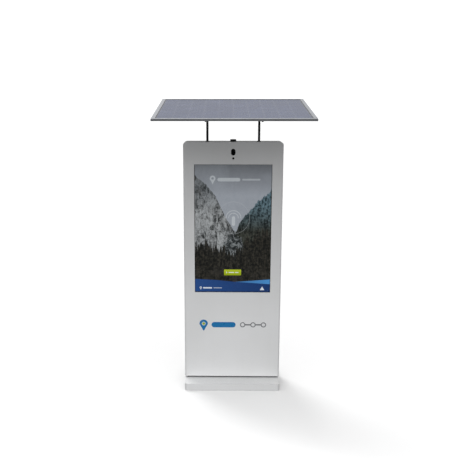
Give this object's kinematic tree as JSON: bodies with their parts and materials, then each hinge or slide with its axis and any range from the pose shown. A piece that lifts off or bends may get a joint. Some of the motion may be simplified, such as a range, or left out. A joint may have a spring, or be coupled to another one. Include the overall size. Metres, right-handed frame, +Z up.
{
  "type": "parking pay station",
  "caption": "Free-standing white cabinet with a portrait touch screen, louvred rear service door, floor base and a tilting solar roof on slim posts.",
  "frame": {"origin": "middle of the four floor anchors, on the floor", "axes": "+X to the right of somebody facing the screen, the screen faces -Y, +Z up"},
  "size_m": [1.036, 0.8167, 2.0312],
  "materials": {
    "white_coat": "white powder coat, fine orange peel, semi-gloss",
    "plinth_grey": "dark blue-grey powder coat, matt",
    "black_coat": "black powder coat, satin",
    "zinc_steel": "zinc-plated steel, dull",
    "bright_steel": "stainless steel, satin",
    "aluminium": "anodised extrusion, satin",
    "solar_glass": "textured low-iron glass over blue-grey cells",
    "touch_glass": "clear toughened glass, polished",
    "display": "lit display face in a black pressed case",
    "dark_gloss": "smoked acrylic, polished",
    "black_plastic": "moulded black plastic, fine grain",
    "rubber": "black EPDM, matt",
    "cable": "black sheathed cable, smooth",
    "battery_case": "dark blue-grey moulded case",
    "controller_case": "blue finned casting",
    "grey_plastic": "light grey moulded plastic",
    "white_plastic": "white moulded plastic",
    "red_plastic": "red moulded plastic",
    "filter_pad": "grey open-cell filter pad"
  },
  "bodies": {
    "cabinet": {"ground_plate": "zinc_steel", "plinth_frame": "plinth_grey", "base_cover_front": "white_coat", "base_cover_rear": "white_coat", "cover_screws": "bright_steel", "cabinet_bolts": "bright_steel", "cable_gland": "black_plastic", "cabinet_shell": "white_coat", "front_fascia": "white_coat", "touch_glass": "touch_glass", "glass_gasket": "rubber", "glass_clamp_frame": "aluminium", "display_module": "display", "display_bars": "zinc_steel", "camera_window": "dark_gloss", "camera_module": "black_plastic", "sensor_window": "dark_gloss", "chassis_rails": "aluminium", "chassis_beams": "aluminium", "support_posts": "black_coat", "post_seals": "rubber", "post_collars": "bright_steel", "post_heads": "black_coat", "pivot_bolts": "bright_steel", "antenna_dome": "black_plastic", "door_seal": "rubber", "hinge_frame_leaves": "bright_steel", "hinge_pins": "bright_steel", "equipment_plate": "zinc_steel", "battery_tray": "black_plastic", "battery_clamp": "zinc_steel", "battery_packs": "battery_case", "charge_controller": "controller_case", "media_player": "aluminium", "power_supply": "bright_steel", "cellular_router": "black_plastic", "din_rail": "bright_steel", "breaker_body": "white_plastic", "terminal_blocks": "grey_plastic", "isolator_body": "grey_plastic", "wiring_harness": "cable"},
    "solar_module": {"panel_frame": "aluminium", "solar_laminate": "solar_glass", "panel_junction_box": "black_plastic", "panel_leads": "cable", "panel_rails": "aluminium", "tilt_brackets": "zinc_steel", "panel_bolts": "bright_steel"},
    "door": {"rear_door": "white_coat", "hinge_door_leaves": "bright_steel", "lock_housings": "bright_steel", "fan_housings": "black_plastic", "fan_filters": "filter_pad"},
    "lock_upper": {"lock_cam_upper": "bright_steel"},
    "lock_lower": {"lock_cam_lower": "bright_steel"},
    "fan_left": {"fan_rotor_left": "black_plastic"},
    "fan_right": {"fan_rotor_right": "black_plastic"},
    "isolator": {"isolator_knob": "red_plastic"},
    "breaker": {"breaker_levers": "black_plastic"},
    "power_button": {"player_button": "white_plastic"}
  },
  "joints": [
    {"name": "roof_tilt", "type": "hinge", "parent": "cabinet", "child": "solar_module", "pos_m": [0, 0, 1.918], "axis": [1, 0, 0], "range_deg": [-8.75, 21.25]},
    {"name": "door_swing", "type": "hinge", "parent": "cabinet", "child": "door", "pos_m": [0.302, 0.0856, 0.902], "axis": [0, 0, -1], "range_deg": [0, 120]},
    {"name": "lock_upper_turn", "type": "hinge", "parent": "door", "child": "lock_upper", "pos_m": [-0.267, 0.06, 1.371], "axis": [0, -1, 0], "range_deg": [0, 90]},
    {"name": "lock_lower_turn", "type": "hinge", "parent": "door", "child": "lock_lower", "pos_m": [-0.267, 0.06, 0.433], "axis": [0, -1, 0], "range_deg": [0, 90]},
    {"name": "fan_left_spin", "type": "hinge", "parent": "door", "child": "fan_left", "pos_m": [-0.066, 0.056, 1.551], "axis": [0, 1, 0], "continuous": true},
    {"name": "fan_right_spin", "type": "hinge", "parent": "door", "child": "fan_right", "pos_m": [0.066, 0.056, 1.551], "axis": [0, 1, 0], "continuous": true},
    {"name": "isolator_turn", "type": "hinge", "parent": "cabinet", "child": "isolator", "pos_m": [0.15, 0.02, 0.485], "axis": [0, 1, 0], "range_deg": [0, 90]},
    {"name": "breaker_throw", "type": "hinge", "parent": "cabinet", "child": "breaker", "pos_m": [-0.19, 0.04, 0.495], "axis": [1, 0, 0], "range_deg": [0, 70]},
    {"name": "power_press", "type": "slide", "parent": "cabinet", "child": "power_button", "axis": [0, 0, -1], "range_m": [0, 0.0015], "stiffness_N_per_m": 300}
  ]
}
